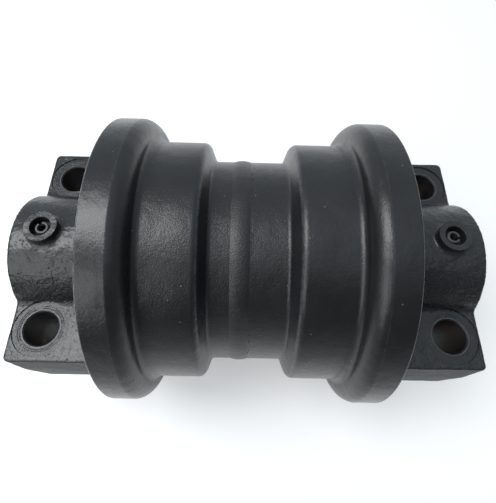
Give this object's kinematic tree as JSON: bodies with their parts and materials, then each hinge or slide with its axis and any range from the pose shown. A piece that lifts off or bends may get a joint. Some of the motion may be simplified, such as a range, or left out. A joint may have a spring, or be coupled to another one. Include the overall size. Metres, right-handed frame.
{
  "type": "track roller",
  "caption": "Sealed double-flange track roller with waisted tread, turning on a fixed axle between two eared collars that bolt up to a track frame.",
  "frame": {"origin": "on the axle's centre line, midway between the two collars", "axes": "+Y along the axle towards the right-hand collar, +Z towards the bolt-head side of the ears, away from the track frame, +X across the axle"},
  "size_m": [0.188, 0.2914, 0.188],
  "materials": {
    "shell_paint": "satin black paint over forged and turned steel",
    "casting_paint": "satin black paint over rough cast steel",
    "axle_steel": "ground steel, lightly oiled",
    "bushing_bronze": "turned bronze",
    "seal_iron": "lapped hard iron",
    "seal_rubber": "smooth nitrile rubber",
    "pin_steel": "spring steel with black overspray"
  },
  "bodies": {
    "axle_and_collars": {"axle_shaft": "axle_steel", "seal_ring_static_left": "seal_iron", "seal_ring_static_right": "seal_iron", "toric_static_left": "seal_rubber", "toric_static_right": "seal_rubber", "shaft_oring_left": "seal_rubber", "shaft_oring_right": "seal_rubber", "collar_left": "casting_paint", "collar_right": "casting_paint", "lock_pin_left": "pin_steel", "lock_pin_right": "pin_steel", "oil_plug": "pin_steel", "oil_plug_seal": "seal_rubber"},
    "roller": {"roller_shell_left": "shell_paint", "roller_shell_right": "shell_paint", "weld_bead": "shell_paint", "bushing_left": "bushing_bronze", "bushing_right": "bushing_bronze", "seal_ring_rotating_left": "seal_iron", "seal_ring_rotating_right": "seal_iron", "toric_rotating_left": "seal_rubber", "toric_rotating_right": "seal_rubber"}
  },
  "joints": [
    {"name": "roller_spin", "type": "hinge", "parent": "axle_and_collars", "child": "roller", "pos_m": [0, 0, 0], "axis": [0, 1, 0], "continuous": true}
  ]
}
